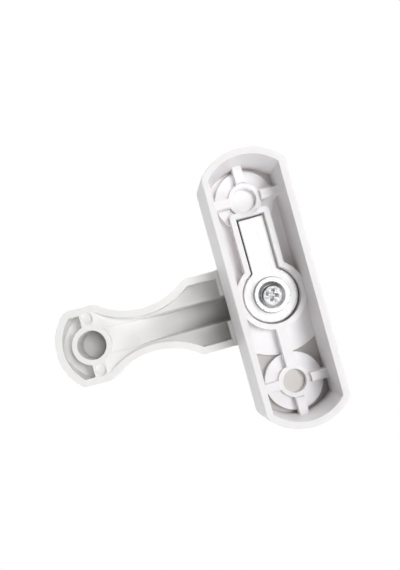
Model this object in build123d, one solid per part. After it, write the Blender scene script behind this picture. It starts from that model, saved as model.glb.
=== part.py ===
from build123d import *
import math
import os

# Window safety lock with a swinging arm: a hollow plastic base is screwed to the window's
# frame, and a hollow arm turns on its front to lie across the sash or out of its way.
# Bench frame, in which the pieces are drawn: x along the arm at rest, y up the base, and
# z the depth from the open back towards the room. The pivot's axis is x = y = 0.
# At the end each piece is turned to the installed frame: the back is the plane y = 0 and
# faces +Y, the base stands along Z, and the arm lies along +X.
# The most demanding feature is the pair of open-backed mouldings: the base with its
# keyhole island, screw bosses and ribs, and the arm with its waisted wall and channel.

# Base: plan of the rim on the back plane
base_half_width = 14.65
base_half_length = 48.6
base_end_radius = 19.1
base_corner_radius = 3.0
base_centre_y = 1.8
base_wall = 2.45

# Base: section
base_depth = 17.5
base_flare = 1.3
base_front_round = 1.6
base_rim_round = 0.5
base_web = 2.7
cavity_draft = 0.3

# Screw bosses, their ribs, pads and the seats of the covers
hole_inset = 14.7
screw_hole_radius = 4.3
boss_wall = 1.6
rib_width = 3.3
spine_width = 3.6
pad_radius = 10.6
pad_rise = 2.4
boss_grip = 2.2
cover_radius = 8.5
cover_rim_height = 2.5
cover_plug_radius = 5.6
cover_plug_height = 1.6
cover_clearance = 0.1
cover_crown = 0.25
cover_edge = 0.8
cover_skin = 1.5
cover_skirt = 1.4

# Island with its keyhole pocket, and the plate in it
island_height = 7.9
island_wall = 2.0
island_corner_radius = 1.6
boss_to_pocket = 0.4
plate_sink = 2.6
plate_thickness = 2.0
plate_radius = 10.15
plate_tail_half_width = 4.9
plate_neck_fillet = 0.9
plate_edge_round = 0.5
plate_clearance = 0.35
plate_side_shift = 0.3
plate_end_gap = 0.1
plate_bore_radius = 5.4

# Pivot stack: spindle, cup washer, screw and friction washer
spindle_radius = 5.0
spindle_running = 0.05
spindle_flange_flats = 14.0
spindle_flange_thickness = 3.0
spindle_flange_cover = 2.6
spindle_embed = 8.0
cup_radius = 6.6
cup_lift = 0.1
cup_edge_round = 0.2
cup_mouth_radius = 4.85
cup_floor_radius = 3.75
cup_floor_thickness = 0.9
screw_radius = 2.0
screw_hole_gap = 0.15
screw_length = 10.0
screw_head_radius = 3.5
screw_head_height = 2.7
screw_head_crown = 0.55
cross_width = 1.3
cross_span = 5.0
cross_depth = 1.5
cross_taper = 0.5
cross_turn = 22.0
friction_inner_gap = 0.3
friction_margin = 3.6
friction_sink = 0.5
friction_side_gap = 0.2
friction_running = 0.05

# Swing recess in the base's front, with the straight step that stops the arm
recess_depth = 1.2
recess_gap = 0.3
stop_gap = 0.3
raised_floor_radius = 21.8
raised_floor_rise = 1.6

# Arm: plan
arm_half_width = 14.6
arm_tip_x = 82.2
arm_end_radius = 19.1
arm_waist_half_width = 8.3
arm_waist_x = 46.5
arm_waist_radius = 27.4
arm_hub_edge_x = 17.0
arm_hub_shoulder_round = 3.0
arm_head_shoulder_round = 6.0
arm_head_corner_round = 2.0
arm_wall = 2.6

# Arm: section
arm_swing_gap = 0.6
arm_front = 31.0
arm_crown = 2.4
arm_crown_overhang = 3.6
arm_front_round = 1.6
shelf_depth = 24.0
shelf_level_x = 42.0
shelf_sag = 1.3
deck_start_x = 65.6
deck_end_x = 70.6
channel_depth = 27.5
channel_half_width = 5.0
channel_floor_half_width = 3.9
channel_start_x = 12.2
channel_level_x = 34.0
channel_sag = 2.2
end_pocket_depth = 27.5
end_pocket_level_x = 74.5
end_pocket_sag = 1.3

# Arm: round boss near the tip and the two small round dimples beside it
arm_boss_x = 68.7
arm_boss_hole_radius = 5.55
arm_boss_wall = 1.95
arm_boss_hole_depth = 11.0
dot_radius = 2.2
dot_x = 68.0
dot_offset_y = 10.0
dot_sink = 1.0

# Depths and places that follow from the sizes above
floor_depth = base_depth - base_web
cover_rim_seat = base_depth - cover_rim_height
cover_plug_seat = cover_rim_seat - cover_plug_height
boss_top = cover_plug_seat - boss_grip
boss_radius = screw_hole_radius + boss_wall
hole_reach = base_half_length - hole_inset
island_top = base_depth - island_height
plate_surface = island_top + plate_sink
pocket_floor = plate_surface + plate_thickness
pocket_end_y = base_centre_y + hole_reach - boss_radius - boss_to_pocket
island_end_y = pocket_end_y + island_wall
plate_tail_end = pocket_end_y - plate_end_gap
recess_floor = base_depth - recess_depth
hub_face = recess_floor + recess_gap
arm_rim = base_depth + arm_swing_gap
friction_seat = recess_floor - friction_sink
friction_radius = arm_half_width - friction_margin
spindle_end = plate_surface - cup_lift
screw_seat = spindle_end - cup_floor_thickness
hub_corner_radius = math.hypot(arm_hub_edge_x, arm_half_width)
recess_radius = hub_corner_radius + stop_gap
stop_y = arm_half_width + stop_gap
quarter_arc_middle = 1 - math.sqrt(0.5)
overlap = 0.5


def oblong(half_width, half_length, end_radius):
    """Plan of the base: straight sides, and ends that are arcs wider than a half circle."""
    chord_y = half_length - end_radius + math.sqrt(end_radius**2 - half_width**2)
    right = Line((half_width, -chord_y), (half_width, chord_y))
    top = ThreePointArc(right @ 1, (0, half_length), (-half_width, chord_y))
    left = Line(top @ 1, (-half_width, -chord_y))
    bottom = ThreePointArc(left @ 1, (0, -half_length), right @ 0)
    return Pos(0, base_centre_y) * make_face([right, top, left, bottom])


def rounded_oblong(grow):
    """The base's outer plan with rounded corners, grown evenly by its flare."""
    plan = oblong(base_half_width + grow, base_half_length + grow, base_end_radius + grow)
    return fillet(plan.vertices(), base_corner_radius + grow)


def slab(plan, low, high):
    """A plan extruded from one depth to another."""
    return extrude(Pos(0, 0, low) * plan, amount=high - low)


def keyhole(radius, half_width, end_y):
    """Disc with a straight bar running up from it."""
    bar = Pos(0, end_y / 2) * Rectangle(2 * half_width, end_y)
    return Circle(radius) + bar


def screw_places():
    """Centres of the two fixing holes, the upper one first."""
    return [Pos(0, base_centre_y + side * hole_reach) for side in (1, -1)]


def base_shell():
    """Flared box with a rounded front edge, hollowed from the back."""
    front = Pos(0, 0, base_depth) * rounded_oblong(base_flare)
    outer = loft([rounded_oblong(0), front], ruled=True)
    outer = fillet(outer.faces().sort_by(Axis.Z)[-1].edges(), base_front_round)
    inside_width = base_half_width - base_wall
    inside_length = base_half_length - base_wall
    inside_end = base_end_radius - base_wall
    mouth = oblong(inside_width, inside_length, inside_end)
    bottom = oblong(
        inside_width - cavity_draft,
        inside_length - cavity_draft,
        inside_end - cavity_draft,
    )
    cavity = loft([mouth, Pos(0, 0, floor_depth) * bottom], ruled=True)
    outer = fillet(outer.faces().sort_by(Axis.Z)[0].edges(), base_rim_round)
    return outer - cavity


def base_ribs():
    """Ribs between the bosses, the walls and the island, and the pads round the bosses."""
    wall_x = base_half_width - base_wall / 2
    wall_y = base_half_length - base_wall / 2
    under = floor_depth + overlap
    parts = []
    for side, place in zip((1, -1), screw_places()):
        parts.append(place * slab(Circle(pad_radius), floor_depth - pad_rise, under))
        parts.append(place * slab(Rectangle(2 * wall_x, rib_width), island_top, under))
        run = wall_y - hole_reach
        outward = Pos(0, side * run / 2) * Rectangle(rib_width, run)
        parts.append(place * slab(outward, island_top, under))
    spine_length = hole_reach - base_centre_y
    spine = Pos(0, -spine_length / 2) * Rectangle(spine_width, spine_length)
    parts.append(slab(spine, island_top, under))
    half_disc = Circle(raised_floor_radius) & (
        Pos(0, -raised_floor_radius / 2) * Rectangle(2 * wall_x, raised_floor_radius)
    )
    parts.append(slab(half_disc, floor_depth - raised_floor_rise, under))
    return parts


def island():
    """Keyhole-shaped island whose pocket holds the plate."""
    wall = plate_clearance + island_wall
    ring = Circle(plate_radius + wall)
    half_width = plate_tail_half_width + wall
    bar = Pos(0, island_end_y / 2) * Rectangle(2 * half_width, island_end_y)
    bar = fillet(bar.vertices().group_by(Axis.Y)[-1], island_corner_radius)
    return slab(ring + bar, island_top, floor_depth + overlap)


def swing_recess():
    """Front recess that the arm's hub turns in, bounded above by the stop."""
    height = stop_y + 2 * recess_radius
    below_stop = Pos(0, stop_y - height / 2) * Rectangle(4 * recess_radius, height)
    return slab(Circle(recess_radius) & below_stop, recess_floor, base_depth + overlap)


def base_housing():
    """The white base moulding."""
    base = base_shell()
    for part in base_ribs():
        base += part
    base += island()
    pocket = keyhole(
        plate_radius + plate_clearance,
        plate_tail_half_width + plate_clearance,
        pocket_end_y,
    )
    base -= slab(pocket, 0, pocket_floor)
    for place in screw_places():
        base -= place * slab(Circle(boss_radius), 0, boss_top)
        base += place * slab(Circle(boss_radius), boss_top, floor_depth + overlap)
        base -= place * slab(Circle(screw_hole_radius), 0, cover_plug_seat + overlap)
        plug = Circle(cover_plug_radius + cover_clearance)
        base -= place * slab(plug, cover_plug_seat, cover_rim_seat + overlap)
        rim = Circle(cover_radius + cover_clearance)
        base -= place * slab(rim, cover_rim_seat, base_depth + overlap)
    base -= swing_recess()
    seat = Circle(friction_radius + friction_side_gap)
    base -= slab(seat, friction_seat, recess_floor + overlap)
    base -= slab(Circle(spindle_radius + spindle_running), 0, base_depth)
    return base


def keyhole_plate():
    """Metal plate with a tail that keys it into the island's pocket, against one side of it."""
    plan = keyhole(plate_radius, plate_tail_half_width, plate_tail_end)
    neck_y = math.sqrt(plate_radius**2 - plate_tail_half_width**2)
    neck = [v for v in plan.vertices() if abs(v.Y - neck_y) < overlap]
    plan = fillet(neck, plate_neck_fillet)
    plate = slab(plan, plate_surface, pocket_floor)
    plate = fillet(plate.faces().sort_by(Axis.Z)[0].edges(), plate_edge_round)
    plate = Pos(-plate_side_shift, 0) * plate
    return plate - slab(Circle(plate_bore_radius), 0, pocket_floor)


def ring_section(points):
    """Solid of revolution about the pivot from a closed outline of radius and depth."""
    outline = Polyline([(radius, 0, depth) for radius, depth in points], close=True)
    return revolve(make_face(outline), Axis.Z)


def domed(radius, edge_depth, top_depth):
    """Arc of a shallow dome about the pivot, from its edge to its top on the axis."""
    rise = top_depth - edge_depth
    ball = (radius**2 + rise**2) / (2 * abs(rise))
    half_rise = ball - math.sqrt(ball**2 - radius**2 / 4)
    middle_depth = top_depth - math.copysign(half_rise, rise)
    return ThreePointArc((radius, 0, edge_depth), (radius / 2, 0, middle_depth), (0, 0, top_depth))


def cup_washer():
    """Thick washer with a sunk centre that takes the screw's head."""
    bore = screw_radius + screw_hole_gap
    washer = ring_section(
        [
            (cup_radius, island_top),
            (cup_mouth_radius, island_top),
            (cup_floor_radius, screw_seat),
            (bore, screw_seat),
            (bore, spindle_end),
            (cup_radius, spindle_end),
        ]
    )
    rims = washer.faces().sort_by(Axis.Z)[0].edges()
    return fillet(rims, cup_edge_round)


def pivot_screw():
    """Pan-head screw with a cross recess."""
    top = screw_seat - screw_head_height
    shoulder = top + screw_head_crown
    tip = screw_seat + screw_length
    profile = [
        Line((0, 0, top), (0, 0, tip)),
        Line((0, 0, tip), (screw_radius, 0, tip)),
        Line((screw_radius, 0, tip), (screw_radius, 0, screw_seat)),
        Line((screw_radius, 0, screw_seat), (screw_head_radius, 0, screw_seat)),
        Line((screw_head_radius, 0, screw_seat), (screw_head_radius, 0, shoulder)),
        domed(screw_head_radius, shoulder, top),
    ]
    screw = revolve(make_face(profile), Axis.Z)
    for width, span in ((cross_width, cross_span), (cross_span, cross_width)):
        mouth = Pos(0, 0, top) * Rectangle(width, span)
        floor = Pos(0, 0, top + cross_depth) * Rectangle(width * cross_taper, span * cross_taper)
        screw -= Rot(Z=cross_turn) * loft([mouth, floor], ruled=True)
    return screw


def pivot_spindle():
    """Turned spindle, tapped for the screw, with a hexagonal flange moulded into the arm."""
    flange_face = hub_face + spindle_flange_cover
    flange = RegularPolygon(spindle_flange_flats / 2, 6, major_radius=False)
    spindle = slab(Circle(spindle_radius), spindle_end, hub_face + spindle_embed)
    spindle += slab(flange, flange_face, flange_face + spindle_flange_thickness)
    return spindle - slab(Circle(screw_radius), 0, screw_seat + screw_length)


def friction_washer():
    """Nylon washer between the base's front and the arm's hub."""
    ring = Circle(friction_radius) - Circle(spindle_radius + friction_inner_gap)
    return slab(ring, friction_seat, hub_face - friction_running)


def screw_cover():
    """Push-in cover over a fixing screw: a hollow rimmed cap with a plug behind it."""
    face = base_depth
    cut = cover_edge * quarter_arc_middle
    side = Line((cover_radius, 0, cover_rim_seat), (cover_radius, 0, face - cover_edge))
    corner = ThreePointArc(
        side @ 1,
        (cover_radius - cut, 0, face - cut),
        (cover_radius - cover_edge, 0, face),
    )
    dome = domed(cover_radius - cover_edge, face, face + cover_crown)
    middle = Line(dome @ 1, (0, 0, cover_rim_seat))
    bottom = Line(middle @ 1, side @ 0)
    cap = revolve(make_face([side, corner, dome, middle, bottom]), Axis.Z)
    cap -= slab(Circle(cover_radius - cover_skirt), cover_rim_seat, face - cover_skin)
    return cap + slab(Circle(cover_plug_radius), cover_plug_seat, face - cover_skin + overlap)


def arm_outline():
    """Plan of the arm: round hub, waist and a head that ends like the base."""
    waist_centre_y = arm_waist_half_width + arm_waist_radius
    reach = math.sqrt(arm_waist_radius**2 - (waist_centre_y - arm_half_width) ** 2)
    hub_x = arm_waist_x - reach
    head_x = arm_waist_x + reach
    end_centre_x = arm_tip_x - arm_end_radius
    corner_x = end_centre_x + math.sqrt(arm_end_radius**2 - arm_half_width**2)
    edges = [
        ThreePointArc((0, arm_half_width), (-arm_half_width, 0), (0, -arm_half_width)),
        ThreePointArc((corner_x, -arm_half_width), (arm_tip_x, 0), (corner_x, arm_half_width)),
    ]
    for side in (1, -1):
        half = side * arm_half_width
        waist = (arm_waist_x, side * arm_waist_half_width)
        edges.append(Line((0, half), (hub_x, half)))
        edges.append(ThreePointArc((hub_x, half), waist, (head_x, half)))
        edges.append(Line((head_x, half), (corner_x, half)))
    plan = make_face(edges)
    for x, radius in (
        (hub_x, arm_hub_shoulder_round),
        (head_x, arm_head_shoulder_round),
        (corner_x, arm_head_corner_round),
    ):
        plan = fillet([v for v in plan.vertices() if abs(v.X - x) < overlap], radius)
    return plan


def arm_blank(plan):
    """The arm's outside: crowned front with a rounded edge, and the hub's lower face."""
    side_y = arm_half_width + arm_crown_overhang
    crown_radius = (arm_half_width**2 + arm_crown**2) / (2 * arm_crown)
    side_z = arm_front - crown_radius + math.sqrt(crown_radius**2 - side_y**2)
    section = [
        Line((0, -side_y, 0), (0, side_y, 0)),
        Line((0, side_y, 0), (0, side_y, side_z)),
        ThreePointArc((0, side_y, side_z), (0, 0, arm_front), (0, -side_y, side_z)),
        Line((0, -side_y, side_z), (0, -side_y, 0)),
    ]
    length = arm_tip_x + 2 * side_y
    crown = Pos(-side_y, 0, 0) * extrude(make_face(section), amount=length, dir=(1, 0, 0))
    blank = slab(plan, hub_face, arm_front + overlap) & crown
    front = blank.faces().filter_by(lambda f: f.center().Z > arm_front - arm_crown)
    blank = fillet(front.sort_by(SortBy.AREA)[-1].edges(), arm_front_round)
    reach = arm_tip_x - arm_hub_edge_x + overlap
    lift = Pos(arm_hub_edge_x + reach / 2, 0) * Rectangle(reach, 3 * arm_half_width)
    return blank - slab(lift, 0, arm_rim)


def hollow_side_view(start_x, depth, level_x, end_x, sag):
    """Hollow seen from the side: a level floor that sweeps up to the arm's rim."""
    rise = depth - arm_rim
    run = end_x - level_x
    chord = math.hypot(run, rise)
    middle = (
        (level_x + end_x) / 2 + math.copysign(sag * rise / chord, run),
        0,
        (depth + arm_rim) / 2 + sag * abs(run) / chord,
    )
    outline = [
        Line((start_x, 0, 0), (start_x, 0, depth)),
        Line((start_x, 0, depth), (level_x, 0, depth)),
        ThreePointArc((level_x, 0, depth), middle, (end_x, 0, arm_rim)),
        Line((end_x, 0, arm_rim), (end_x, 0, 0)),
        Line((end_x, 0, 0), (start_x, 0, 0)),
    ]
    return extrude(make_face(outline), amount=arm_half_width, dir=(0, 1, 0), both=True)


def arm_pocket(plan):
    """The hollows between the arm's walls: the shelves and the pocket at the tip."""
    inside = slab(offset(plan, -arm_wall, kind=Kind.INTERSECTION), 0, arm_front)
    shelves = hollow_side_view(
        arm_hub_edge_x, shelf_depth, shelf_level_x, deck_start_x, shelf_sag
    )
    tip = hollow_side_view(
        deck_end_x, end_pocket_depth, end_pocket_level_x, arm_tip_x - arm_wall, end_pocket_sag
    )
    return (inside & shelves) + (inside & tip)


def arm_channel():
    """Straight channel from the hub to the boss, with sloping lower sides."""
    section = Polyline(
        (channel_start_x, -channel_half_width, 0),
        (channel_start_x, channel_half_width, 0),
        (channel_start_x, channel_half_width, shelf_depth),
        (channel_start_x, channel_floor_half_width, channel_depth),
        (channel_start_x, -channel_floor_half_width, channel_depth),
        (channel_start_x, -channel_half_width, shelf_depth),
        close=True,
    )
    prism = extrude(make_face(section), amount=arm_boss_x - channel_start_x, dir=(1, 0, 0))
    return prism & hollow_side_view(
        channel_start_x, channel_depth, channel_level_x, deck_start_x, channel_sag
    )


def swing_arm():
    """The white arm moulding."""
    plan = arm_outline()
    arm = arm_blank(plan) - arm_pocket(plan) - arm_channel()
    boss = Circle(arm_boss_hole_radius + arm_boss_wall)
    arm += Pos(arm_boss_x, 0) * slab(boss, arm_rim, channel_depth + overlap)
    for side in (1, -1):
        dot = Pos(dot_x, side * dot_offset_y) * Circle(dot_radius)
        arm -= slab(dot, 0, arm_rim + dot_sink)
    arm -= Pos(arm_boss_x, 0) * slab(Circle(arm_boss_hole_radius), 0, arm_rim + arm_boss_hole_depth)
    flange_face = hub_face + spindle_flange_cover
    flange = RegularPolygon(spindle_flange_flats / 2, 6, major_radius=False)
    arm -= slab(flange, flange_face, flange_face + spindle_flange_thickness)
    return arm - slab(Circle(spindle_radius), 0, hub_face + spindle_embed)


upper_place, lower_place = screw_places()
nodes = {
    "base_housing": base_housing(),
    "keyhole_plate": keyhole_plate(),
    "cup_washer": cup_washer(),
    "pivot_screw": pivot_screw(),
    "pivot_spindle": pivot_spindle(),
    "friction_washer": friction_washer(),
    "swing_arm": swing_arm(),
    "screw_cover_upper": upper_place * screw_cover(),
    "screw_cover_lower": lower_place * screw_cover(),
}

os.makedirs("parts", exist_ok=True)
for name, part in nodes.items():
    export_step(Rot(X=90) * part, f"parts/{name}.step")
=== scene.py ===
import math

import bpy
from mathutils import Matrix, Vector

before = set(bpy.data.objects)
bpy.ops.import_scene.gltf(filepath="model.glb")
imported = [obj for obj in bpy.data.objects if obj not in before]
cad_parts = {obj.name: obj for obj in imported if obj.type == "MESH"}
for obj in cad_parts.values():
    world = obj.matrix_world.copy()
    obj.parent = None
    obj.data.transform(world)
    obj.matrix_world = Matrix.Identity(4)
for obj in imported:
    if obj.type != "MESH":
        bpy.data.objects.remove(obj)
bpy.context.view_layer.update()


# Base housing: the oblong shell that is screwed to the window's frame, seen into from behind.
# It is injection-moulded in white plastic with a fine spark-eroded grain and softly broken edges.
# Its hollows are painted slightly warmer and darker, and the deep floor below the pivot greyer: both are
# painted shade.
moulding_white = (0.902, 0.893, 0.908, 1.0)
moulding_shade = (0.878, 0.868, 0.882, 1.0)
# painted shade: the warmer, darker tone in tight hollows
moulding_hollow_shade = (0.860, 0.828, 0.826, 1.0)
moulding_edge = 0.00022
moulding_cloud_scale = 90.0
moulding_sheen_scale = 260.0
moulding_grain_scale = 5200.0
moulding_grain_depth = 0.000018
moulding_glow = 0.25
moulding_glow_depth = 0.0012
hollow_reach = 0.009
hollow_openness = (0.12, 0.42)
enclosed_openness = (0.82, 0.96)
# painted shade: the darker grey of the deep floor below the pivot
floor_painted_shade = (0.590, 0.565, 0.560, 1.0)
floor_painted_shade_dim = (0.550, 0.525, 0.520, 1.0)
floor_shade_depth = (-0.0135, -0.0146)
floor_shade_height = (-0.0150, -0.0185)


def new_material(name):
    """A material with one principled shader: returns it, its node tree and the shader."""
    material = bpy.data.materials.new(name)
    material.use_nodes = True
    nodes = material.node_tree.nodes
    nodes.clear()
    output = nodes.new("ShaderNodeOutputMaterial")
    shader = nodes.new("ShaderNodeBsdfPrincipled")
    material.node_tree.links.new(shader.outputs["BSDF"], output.inputs["Surface"])
    return material, material.node_tree, shader


def noise_field(tree, scale, detail=2.0, stretch=(1.0, 1.0, 1.0)):
    """Noise in the object's own metres, stretched along the axes."""
    place = tree.nodes.new("ShaderNodeTexCoord")
    mapping = tree.nodes.new("ShaderNodeMapping")
    mapping.inputs["Scale"].default_value = stretch
    noise = tree.nodes.new("ShaderNodeTexNoise")
    noise.inputs["Scale"].default_value = scale
    noise.inputs["Detail"].default_value = detail
    tree.links.new(place.outputs["Object"], mapping.inputs["Vector"])
    tree.links.new(mapping.outputs["Vector"], noise.inputs["Vector"])
    return noise.outputs["Fac"]


def ranged(tree, value, low, high, source=(0.35, 0.65)):
    """A value taken from one range to another."""
    remap = tree.nodes.new("ShaderNodeMapRange")
    remap.inputs["From Min"].default_value = source[0]
    remap.inputs["From Max"].default_value = source[1]
    remap.inputs["To Min"].default_value = low
    remap.inputs["To Max"].default_value = high
    tree.links.new(value, remap.inputs["Value"])
    return remap.outputs["Result"]


def blended(tree, value, first, second):
    """Two colours mixed by a value: each is a fixed colour or comes from another node."""
    mix = tree.nodes.new("ShaderNodeMix")
    mix.data_type = "RGBA"
    tree.links.new(value, mix.inputs["Factor"])
    for side, colour in (("A", first), ("B", second)):
        if isinstance(colour, tuple):
            mix.inputs[side].default_value = colour
        else:
            tree.links.new(colour, mix.inputs[side])
    return mix.outputs["Result"]


def surface_relief(tree, shader, height, depth, edge):
    """Bump from a height, over edges rounded by a small radius."""
    bevel = tree.nodes.new("ShaderNodeBevel")
    bevel.samples = 6
    bevel.inputs["Radius"].default_value = edge
    bump = tree.nodes.new("ShaderNodeBump")
    bump.inputs["Strength"].default_value = 0.6
    bump.inputs["Distance"].default_value = depth
    tree.links.new(height, bump.inputs["Height"])
    tree.links.new(bevel.outputs["Normal"], bump.inputs["Normal"])
    tree.links.new(bump.outputs["Normal"], shader.inputs["Normal"])


def clouded(tree, colour, shade):
    """Colour with the faint clouding that the flow of the plastic leaves."""
    flow = noise_field(tree, moulding_cloud_scale, detail=3.0, stretch=(1.0, 1.0, 0.45))
    return blended(tree, ranged(tree, flow, 0.0, 1.0), colour, shade)


def moulded_plastic(name, colour, shade, painted_hollow_tone, smooth, rough):
    """Moulded plastic: clouded, with a painted tone in tight hollows (painted shade where it is darker,
    painted light where it is lighter), finely grained and satin.
    """
    material, tree, shader = new_material(name)
    openness = tree.nodes.new("ShaderNodeAmbientOcclusion")
    openness.samples = 8
    openness.inputs["Distance"].default_value = hollow_reach
    open_part = ranged(tree, openness.outputs["AO"], 0.0, 1.0, hollow_openness)
    tone = blended(tree, open_part, painted_hollow_tone, clouded(tree, colour, shade))
    tree.links.new(tone, shader.inputs["Base Color"])
    sheen = ranged(tree, noise_field(tree, moulding_sheen_scale), smooth, rough)
    tree.links.new(sheen, shader.inputs["Roughness"])
    grain = noise_field(tree, moulding_grain_scale, detail=3.0)
    surface_relief(tree, shader, grain, moulding_grain_depth, moulding_edge)
    shader.inputs["Subsurface Weight"].default_value = moulding_glow
    shader.inputs["Subsurface Radius"].default_value = (1.0, 0.85, 0.75)
    shader.inputs["Subsurface Scale"].default_value = moulding_glow_depth
    shader.inputs["IOR"].default_value = 1.49
    return material


def along_axis(tree, axis, low, high, source):
    """A value that goes from one number to another between two places along an axis."""
    place = tree.nodes.new("ShaderNodeTexCoord")
    axes = tree.nodes.new("ShaderNodeSeparateXYZ")
    tree.links.new(place.outputs["Object"], axes.inputs["Vector"])
    return ranged(tree, axes.outputs[axis], low, high, source)


def enclosed(tree):
    """How far a surface has walls round it: 1 down in the shell, 0 on the outside."""
    openness = tree.nodes["Ambient Occlusion"].outputs["AO"]
    return ranged(tree, openness, 1.0, 0.0, enclosed_openness)


def joined(tree, operation, first, second):
    """One value from two."""
    result = tree.nodes.new("ShaderNodeMath")
    result.operation = operation
    tree.links.new(first, result.inputs[0])
    tree.links.new(second, result.inputs[1])
    return result.outputs["Value"]


def paint_shade(material, part, colour, shade):
    """Paints shade onto a plastic: another, darker clouded colour where a value is 1."""
    tree = material.node_tree
    base_colour = tree.nodes["Principled BSDF"].inputs["Base Color"]
    before = base_colour.links[0].from_socket
    tree.links.new(blended(tree, part, before, clouded(tree, colour, shade)), base_colour)


def dress(node, material):
    """Gives a CAD node its material in every slot."""
    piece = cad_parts[node]
    if not piece.material_slots:
        piece.data.materials.append(material)
    for slot in piece.material_slots:
        slot.material = material


base_plastic = moulded_plastic(
    "base_white", moulding_white, moulding_shade, moulding_hollow_shade, smooth=0.36, rough=0.46
)
base_tree = base_plastic.node_tree
# Painted shade: the deep floor below the pivot, down in the shell, is painted darker grey.
deep_part = along_axis(base_tree, "Y", 0.0, 1.0, floor_shade_depth)
lower_part = along_axis(base_tree, "Z", 0.0, 1.0, floor_shade_height)
floor_part = joined(base_tree, "MULTIPLY", deep_part, lower_part)
floor_shade_part = joined(base_tree, "MULTIPLY", floor_part, enclosed(base_tree))
paint_shade(base_plastic, floor_shade_part, floor_painted_shade, floor_painted_shade_dim)
dress("base_housing", base_plastic)


# Keyhole plate: a bright metal plate with a tail, dropped into the island's pocket so that it
# can't turn. It is die-cast and tumbled, which rounds its rim and leaves faint lines along it.
# A painted shadow of the island's wall darkens one side of its disc, and painted dark reflection
# lies along the tail's edges that turn one way.
plate_bright = (0.93, 0.93, 0.925, 1.0)
plate_dull = (0.84, 0.84, 0.835, 1.0)
plate_rim = 0.0003
# painted dark: a painted shadow along the disc's side and painted dark reflection along the tail's edges
plate_painted_dark = (0.10, 0.10, 0.10, 1.0)
plate_dark_edge_reach = 0.0011
plate_dark_edge_way = (0.72, 0.0, 0.69)
plate_dark_edge_turn = (0.08, 0.40)
# where the painted shadow of the island's wall lies on the disc
plate_shadow_centre = (0.00125, 0.0, 0.00035)
plate_shadow_radius = (0.0102, 0.0117)
plate_tail_height = (0.0085, 0.0095)
metal_line_scale = 900.0
metal_line_depth = 0.000004


def metal(name, tone, smooth, rough, stretch, rim, metallic):
    """Plated or tumbled metal: a tone made by a function of its tree and its fine lines."""
    material, tree, shader = new_material(name)
    lines = noise_field(tree, metal_line_scale, detail=4.0, stretch=stretch)
    tree.links.new(tone(tree, ranged(tree, lines, 0.0, 1.0)), shader.inputs["Base Color"])
    tree.links.new(ranged(tree, lines, smooth, rough), shader.inputs["Roughness"])
    surface_relief(tree, shader, lines, metal_line_depth, rim)
    shader.inputs["Metallic"].default_value = metallic
    return material


def edged(tree, face, line, reach, way, turn):
    """A face's tone, and another along the edges that turn one way."""
    rounded = tree.nodes.new("ShaderNodeBevel")
    rounded.samples = 8
    rounded.inputs["Radius"].default_value = reach
    turned = tree.nodes.new("ShaderNodeVectorMath")
    turned.operation = "DOT_PRODUCT"
    turned.inputs[1].default_value = way
    tree.links.new(rounded.outputs["Normal"], turned.inputs[0])
    return blended(tree, ranged(tree, turned.outputs["Value"], 0.0, 1.0, turn), face, line)


def distance_from(tree, centre, flat):
    """Distance from a centre, measured only along the axes that are 1 in flat."""
    place = tree.nodes.new("ShaderNodeTexCoord")
    offset = tree.nodes.new("ShaderNodeVectorMath")
    offset.operation = "SUBTRACT"
    offset.inputs[1].default_value = centre
    tree.links.new(place.outputs["Object"], offset.inputs[0])
    flattened = tree.nodes.new("ShaderNodeVectorMath")
    flattened.operation = "MULTIPLY"
    flattened.inputs[1].default_value = flat
    tree.links.new(offset.outputs["Vector"], flattened.inputs[0])
    length = tree.nodes.new("ShaderNodeVectorMath")
    length.operation = "LENGTH"
    tree.links.new(flattened.outputs["Vector"], length.inputs[0])
    return length.outputs["Value"]


def ringed(tree, face, line, centre, radius):
    """A face's tone, and another outside a circle on it, soft between two radii."""
    outside = ranged(tree, distance_from(tree, centre, (1.0, 0.0, 1.0)), 0.0, 1.0, radius)
    return blended(tree, outside, face, line)


def plate_tone(tree, lines):
    """Two near tones along the lines, with painted dark reflection along the tail's edges and a painted
    shadow along the disc's side.
    """
    face = blended(tree, lines, plate_bright, plate_dull)
    disc = ringed(tree, face, plate_painted_dark, plate_shadow_centre, plate_shadow_radius)
    tail = edged(
        tree, face, plate_painted_dark, plate_dark_edge_reach, plate_dark_edge_way, plate_dark_edge_turn
    )
    return blended(tree, along_axis(tree, "Z", 0.0, 1.0, plate_tail_height), disc, tail)


plate_metal = metal(
    "plate_satin", plate_tone, smooth=0.26, rough=0.36, stretch=(1, 1, 0.12), rim=plate_rim, metallic=0.85
)
dress("keyhole_plate", plate_metal)


# Cup washer: a thick turned and plated washer that stands on the plate. Its sunk centre takes
# the screw's head and is painted lighter as painted light, and a grey line of painted dark
# reflection runs round its outer edge, wider on one side.
washer_bright = (0.92, 0.92, 0.925, 1.0)
washer_dull = (0.84, 0.84, 0.85, 1.0)
# painted light: the cup is made lighter than the face
washer_cup_painted_light = (0.95, 0.95, 0.955, 1.0)
# painted dark reflection round the washer's outer edge
washer_dark_ring = (0.22, 0.22, 0.225, 1.0)
washer_dark_ring_centre = (-0.00029, 0.0, -0.00008)
washer_dark_ring_radius = (0.00622, 0.00650)
washer_cup_depth = (-0.0099, -0.0104)
washer_rim = 0.00015


def washer_tone(tree, lines):
    """Bright face with a grey line of painted dark reflection round its outer edge, and a cup painted
    lighter as painted light.
    """
    face = blended(tree, lines, washer_bright, washer_dull)
    lined = ringed(tree, face, washer_dark_ring, washer_dark_ring_centre, washer_dark_ring_radius)
    cup = blended(tree, lines, washer_cup_painted_light, washer_dull)
    return blended(tree, along_axis(tree, "Y", 0.0, 1.0, washer_cup_depth), lined, cup)


washer_metal = metal(
    "washer_plated", washer_tone, smooth=0.26, rough=0.34, stretch=(1, 1, 1), rim=washer_rim, metallic=0.6
)
dress("cup_washer", washer_metal)


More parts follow.
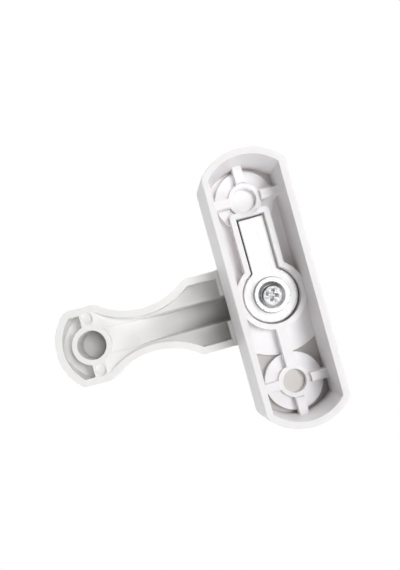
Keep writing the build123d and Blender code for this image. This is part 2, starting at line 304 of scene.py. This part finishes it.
# Pivot screw: a pan-head screw with a cross recess, nickel-plated over a cold-headed blank.
# It holds the washer, the plate and the arm together. Its head is patchy, its recess is painted
# greyer as painted shade, and a black crescent of painted dark reflection lies on one side.
screw_bright = (0.90, 0.905, 0.92, 1.0)
screw_dull = (0.48, 0.485, 0.50, 1.0)
# painted shade: the cross recess is greyer than the head
screw_recess_shade = (0.80, 0.80, 0.805, 1.0)
screw_recess_shade_dull = (0.46, 0.46, 0.465, 1.0)
# painted dark reflection: the black crescent along one side of the head
screw_dark_crescent = (0.03, 0.03, 0.035, 1.0)
screw_dark_crescent_centre = (-0.00024, 0.0, -0.00046)
screw_dark_crescent_radius = (0.00335, 0.00365)
screw_recess_depth = (-0.0091, -0.0095)
screw_rim = 0.00012


def screw_tone(tree, lines):
    """Bright head with duller patches, a recess painted greyer as painted shade, and a black crescent of
    painted dark reflection along one side.
    """
    head = blended(tree, lines, screw_bright, screw_dull)
    recess = blended(tree, lines, screw_recess_shade, screw_recess_shade_dull)
    face = blended(tree, along_axis(tree, "Y", 0.0, 1.0, screw_recess_depth), head, recess)
    return ringed(tree, face, screw_dark_crescent, screw_dark_crescent_centre, screw_dark_crescent_radius)


screw_metal = metal(
    "screw_nickel", screw_tone, smooth=0.14, rough=0.24, stretch=(1, 1, 1), rim=screw_rim, metallic=0.85
)
dress("pivot_screw", screw_metal)


# Pivot spindle: a steel stub turned on a lathe, with a hexagonal flange moulded into the arm.
# The washer and the mouldings hide it, and it keeps plain fine turning marks.
spindle_bright = (0.74, 0.74, 0.73, 1.0)
spindle_dull = (0.62, 0.62, 0.61, 1.0)
spindle_rim = 0.0002


def spindle_tone(tree, lines):
    """Two near greys across the turning marks."""
    return blended(tree, lines, spindle_bright, spindle_dull)


spindle_metal = metal(
    "spindle_turned",
    spindle_tone,
    smooth=0.25,
    rough=0.35,
    stretch=(0.2, 1, 0.2),
    rim=spindle_rim,
    metallic=0.9,
)
dress("pivot_spindle", spindle_metal)


# Friction washer: a flat ring of natural nylon between the base and the arm's hub.
# It is stamped from sheet and shows as a thin line in the gap between them.
nylon_pale = (0.86, 0.84, 0.78, 1.0)
nylon_deep = (0.80, 0.78, 0.71, 1.0)
# painted shade: the darker tone in the washer's tight hollows
nylon_hollow_shade = (0.70, 0.67, 0.60, 1.0)
nylon = moulded_plastic(
    "nylon_natural", nylon_pale, nylon_deep, nylon_hollow_shade, smooth=0.4, rough=0.5
)
dress("friction_washer", nylon)


# Swing arm: the waisted arm that lies across the sash, moulded in the same white plastic as
# the base. It is open towards the window, with two shelves, a channel and a round boss. Its tight
# hollows are painted a little lighter as painted light, and its depths are painted much darker
# grey: painted shadow of the base near the hub, and painted shade in the boss's hole.
arm_white = (0.868, 0.864, 0.862, 1.0)
arm_shade = (0.842, 0.837, 0.834, 1.0)
# painted light: the arm's tight hollows are made a little lighter than its face
arm_hollow_light = (0.905, 0.900, 0.896, 1.0)
# painted shadow and shade: the much darker grey near the hub and in the boss's hole
arm_painted_shadow = (0.470, 0.462, 0.455, 1.0)
arm_painted_shadow_dim = (0.420, 0.412, 0.404, 1.0)
arm_shadow_depth = (-0.0202, -0.0268)
arm_shadow_reach = (0.0260, 0.0500)
arm_hole_centre = (0.0687, 0.0, 0.0)
arm_hole_radius = (0.0056, 0.0062)
arm_hole_shade_strength = 0.65

arm_plastic = moulded_plastic("arm_white", arm_white, arm_shade, arm_hollow_light, smooth=0.34, rough=0.44)
arm_tree = arm_plastic.node_tree
# Painted shadow of the base near the hub, and painted shade in the boss's hole.
hole_distance = distance_from(arm_tree, arm_hole_centre, (1.0, 0.0, 1.0))
in_hole = ranged(arm_tree, hole_distance, arm_hole_shade_strength, 0.0, arm_hole_radius)
near_hub = along_axis(arm_tree, "X", 1.0, 0.0, arm_shadow_reach)
inner_place = joined(arm_tree, "MAXIMUM", near_hub, in_hole)
inner_depth = along_axis(arm_tree, "Y", 0.0, 1.0, arm_shadow_depth)
inner_part = joined(arm_tree, "MULTIPLY", inner_depth, inner_place)
arm_shade_part = joined(arm_tree, "MULTIPLY", inner_part, enclosed(arm_tree))
paint_shade(arm_plastic, arm_shade_part, arm_painted_shadow, arm_painted_shadow_dim)
dress("swing_arm", arm_plastic)


# Screw covers: push-in covers that hide the fixing screws once the lock is up.
# The upper one is moulded as white as the base. The lower one is given a warm pale grey, the
# tone of white plastic in shade, as painted shade of its deep hole, and the hollows of both
# covers are painted that grey too.
cover_pale = (0.91, 0.91, 0.905, 1.0)
cover_pale_shade = (0.89, 0.89, 0.885, 1.0)
# painted shade: the lower cover's warm grey, and the hollows of both covers
cover_painted_shade = (0.74, 0.715, 0.69, 1.0)
cover_painted_shade_dim = (0.71, 0.685, 0.66, 1.0)
cover_white = moulded_plastic(
    "cover_white", cover_pale, cover_pale_shade, cover_painted_shade, smooth=0.36, rough=0.46
)
cover_grey = moulded_plastic(
    "cover_grey", cover_painted_shade, cover_painted_shade_dim, cover_painted_shade_dim, smooth=0.36, rough=0.46
)
dress("screw_cover_upper", cover_white)
dress("screw_cover_lower", cover_grey)


# Camera: square to the open back and close to it, as the photograph was taken, with the
# picture turned so that the base's top leans to the left. Distances are in metres, the turn is
# in degrees, and the lens is in millimetres.
camera_across = 0.03187
camera_back = 0.150
camera_height = -0.00271
camera_turn = 15.55
camera_lens = 28.23
frame_shift_across = 0.0211
frame_shift_up = 0.0719

camera_data = bpy.data.cameras.new("photo_camera")
camera_data.lens = camera_lens
camera_data.sensor_width = 36.0
camera_data.shift_x = frame_shift_across
camera_data.shift_y = frame_shift_up
camera_data.clip_start = 0.005
camera = bpy.data.objects.new("photo_camera", camera_data)
bpy.context.scene.collection.objects.link(camera)
lean = math.radians(camera_turn)
right = Vector((-math.cos(lean), 0.0, -math.sin(lean)))
up = Vector((-math.sin(lean), 0.0, math.cos(lean)))
facing = Matrix((right, up, Vector((0.0, 1.0, 0.0)))).transposed()
camera.matrix_world = Matrix.Translation((camera_across, camera_back, camera_height)) @ facing.to_4x4()
bpy.context.scene.camera = camera


# Lamps: four round soft boxes, kept out of reflections. The key stands near the camera on its
# right, and the others light the lock from below, from above and from the left. Each is placed
# by how far it is off the line out of the lock's back, and which way round from the picture's right.
lamp_distance = 1.5
lamps = {
    "key": {"off": 24.0, "round": 20.0, "size": 0.75, "power": 15.6},
    "lower": {"off": 62.0, "round": 278.0, "size": 1.2, "power": 19.0},
    "upper": {"off": 84.0, "round": 98.0, "size": 1.4, "power": 14.0},
    "left": {"off": 100.0, "round": 180.0, "size": 1.1, "power": 5.5},
}

for name, lamp in lamps.items():
    off = math.radians(lamp["off"])
    turn = math.radians(lamp["round"])
    sideways = right * math.cos(turn) + up * math.sin(turn)
    towards = Vector((0.0, math.cos(off), 0.0)) + sideways * math.sin(off)
    light = bpy.data.lights.new(name, "AREA")
    light.shape = "DISK"
    light.size = lamp["size"]
    light.energy = lamp["power"]
    soft_box = bpy.data.objects.new(name, light)
    soft_box.rotation_mode = "QUATERNION"
    soft_box.rotation_quaternion = towards.to_track_quat("Z", "Y")
    soft_box.location = towards * lamp_distance
    soft_box.visible_glossy = False
    bpy.context.scene.collection.objects.link(soft_box)


# World and floor: white paper for the camera. The pieces get a dim warm light from the camera's
# side and a brighter one from behind them. Reflections see white that dims at the sides and is
# dark towards the picture's upper left. The small pale floor fades out at its rim.
front_light = 0.09
front_tint = (1.0, 0.93, 0.87, 1.0)
behind_light = 0.64
behind_to_front = (-0.25, 0.25)
white = (1.0, 1.0, 1.0, 1.0)
white_gloss = 1.20
dark_gloss = 0.06
dark_way = up * 0.5 - right * 0.87
white_to_dark = (0.25, 0.75)
side_gloss = 0.80
side_to_white = (0.3, 0.8)
floor_drop = 0.30
floor_radius = 0.28
floor_sides = 96
floor_pale = (0.93, 0.93, 0.93, 1.0)

world = bpy.data.worlds.new("white_surround")
world.use_nodes = True
bpy.context.scene.world = world
sky = world.node_tree
sky.nodes.clear()


def sky_light(strength, tint):
    """Background shader of one tint, its strength a number or a socket."""
    light = sky.nodes.new("ShaderNodeBackground")
    light.inputs["Color"].default_value = tint
    if isinstance(strength, float):
        light.inputs["Strength"].default_value = strength
    else:
        sky.links.new(strength, light.inputs["Strength"])
    return light.outputs["Background"]


def sky_choice(factor, first, second):
    """First shader where the factor is 0, second where it is 1."""
    mix = sky.nodes.new("ShaderNodeMixShader")
    sky.links.new(factor, mix.inputs["Fac"])
    sky.links.new(first, mix.inputs[1])
    sky.links.new(second, mix.inputs[2])
    return mix.outputs["Shader"]


def sky_along(direction):
    """How far the way that a ray looks runs along a direction."""
    along = sky.nodes.new("ShaderNodeVectorMath")
    along.operation = "DOT_PRODUCT"
    along.inputs[1].default_value = direction
    sky.links.new(way.outputs["Generated"], along.inputs[0])
    return along.outputs["Value"]


sky_out = sky.nodes.new("ShaderNodeOutputWorld")
way = sky.nodes.new("ShaderNodeTexCoord")
ray = sky.nodes.new("ShaderNodeLightPath")
out_front = sky_along((0.0, 1.0, 0.0))
fore_and_aft = sky.nodes.new("ShaderNodeMath")
fore_and_aft.operation = "ABSOLUTE"
sky.links.new(out_front, fore_and_aft.inputs[0])
front = sky_light(front_light, front_tint)
behind = sky_light(behind_light, white)
soft = sky_choice(ranged(sky, out_front, 1.0, 0.0, behind_to_front), front, behind)
dark_corner = ranged(sky, sky_along(dark_way), white_gloss, dark_gloss, white_to_dark)
dim_sides = ranged(sky, fore_and_aft.outputs["Value"], side_gloss, white_gloss, side_to_white)
gloss = sky_light(joined(sky, "MINIMUM", dark_corner, dim_sides), white)
lit = sky_choice(ray.outputs["Is Glossy Ray"], soft, gloss)
clear = sky_choice(ray.outputs["Is Transmission Ray"], lit, sky_light(1.0, white))
seen = sky_choice(ray.outputs["Is Camera Ray"], clear, sky_light(1.0, white))
sky.links.new(seen, sky_out.inputs["Surface"])

floor_mesh = bpy.data.meshes.new("floor")
rim = [
    (
        floor_radius * math.cos(2 * math.pi * i / floor_sides),
        floor_radius * math.sin(2 * math.pi * i / floor_sides),
        -floor_drop,
    )
    for i in range(floor_sides)
]
floor_mesh.from_pydata(rim, [], [list(range(floor_sides))])
floor = bpy.data.objects.new("floor", floor_mesh)
bpy.context.scene.collection.objects.link(floor)
floor_material, floor_tree, floor_shader = new_material("floor_pale")
floor_shader.inputs["Base Color"].default_value = floor_pale
floor_shader.inputs["Roughness"].default_value = 0.8
floor_fade = floor_tree.nodes.new("ShaderNodeMixShader")
floor_clear = floor_tree.nodes.new("ShaderNodeBsdfTransparent")
from_middle = distance_from(floor_tree, (0.0, 0.0, 0.0), (1.0, 1.0, 0.0))
fade = ranged(floor_tree, from_middle, 0.0, 1.0, (0.5 * floor_radius, 0.95 * floor_radius))
floor_tree.links.new(fade, floor_fade.inputs["Fac"])
floor_tree.links.new(floor_shader.outputs["BSDF"], floor_fade.inputs[1])
floor_tree.links.new(floor_clear.outputs["BSDF"], floor_fade.inputs[2])
floor_tree.links.new(floor_fade.outputs["Shader"], floor_tree.nodes["Material Output"].inputs["Surface"])
floor_mesh.materials.append(floor_material)

bpy.context.scene.view_settings.view_transform = "Standard"
